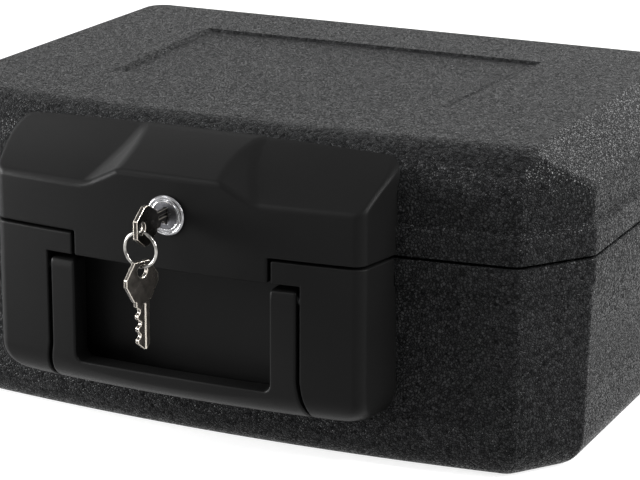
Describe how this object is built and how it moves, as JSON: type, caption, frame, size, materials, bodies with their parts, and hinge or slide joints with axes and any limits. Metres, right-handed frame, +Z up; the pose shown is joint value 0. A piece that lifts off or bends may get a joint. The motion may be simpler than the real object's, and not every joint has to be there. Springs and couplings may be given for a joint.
{
  "type": "fire chest",
  "caption": "Small fire-resistant security chest with a hinged lid, a bowed front fascia, a folding carry handle, a keyed cam lock and two keys on a ring.",
  "frame": {"origin": "centre of the flat underside on the floor", "axes": "+X to the right as seen from the front, -Y towards the front with the lock, +Z up"},
  "size_m": [0.363, 0.3335, 0.155],
  "materials": {
    "shell": "pebble-grained charcoal moulding",
    "fascia": "satin black moulding",
    "handle": "satin black moulding",
    "liner": "fine-grained dark grey moulding",
    "fill": "cast insulating fill",
    "steel": "zinc-plated",
    "lock_chrome": "polished",
    "lock_steel": "turned",
    "wafer_brass": "stamped",
    "key_nickel": "nickel-plated",
    "ring_chrome": "polished wire"
  },
  "bodies": {
    "base": {"base_shell": "shell", "base_insulation": "fill", "base_liner": "liner", "base_fascia": "fascia", "base_fascia_screws": "steel", "strike_plate": "steel", "strike_screws": "steel", "hinge_pins": "steel", "handle_pins": "steel"},
    "handle": {"carry_handle": "handle"},
    "lid": {"lid_shell": "shell", "lid_insulation": "fill", "lid_liner": "liner", "lid_fascia": "fascia", "lid_fascia_screws": "steel", "lock_housing": "lock_chrome", "lock_nut": "steel"},
    "plug": {"lock_plug": "lock_steel", "lock_wafers": "wafer_brass", "lock_cam": "steel", "cam_screw": "steel"},
    "lock_key": {"key": "key_nickel"},
    "ring": {"key_ring": "ring_chrome"},
    "hanging_key": {"spare_key": "key_nickel"}
  },
  "joints": [
    {"name": "lid_hinge", "type": "hinge", "parent": "base", "child": "lid", "pos_m": [0, 0.1314, 0.104], "axis": [-1, 0, 0], "range_deg": [0, 95]},
    {"name": "handle_swing", "type": "hinge", "parent": "base", "child": "handle", "pos_m": [0, -0.15393, 0.08492], "axis": [-1, 0, 0], "range_deg": [0, 90]},
    {"name": "plug_turn", "type": "hinge", "parent": "lid", "child": "plug", "pos_m": [0, -0.163, 0.119], "axis": [0, 1, 0], "range_deg": [0, 90]},
    {"name": "key_slide", "type": "slide", "parent": "plug", "child": "lock_key", "axis": [0, -1, 0], "range_m": [0, 0.04]},
    {"name": "ring_swing", "type": "hinge", "parent": "lock_key", "child": "ring", "pos_m": [0, -0.1871, 0.1171], "axis": [-1, 0, 0], "range_deg": [-8, 70]},
    {"name": "spare_swing", "type": "hinge", "parent": "ring", "child": "hanging_key", "pos_m": [0, -0.1871, 0.1091], "axis": [0, 1, 0], "range_deg": [-20, 20]}
  ]
}
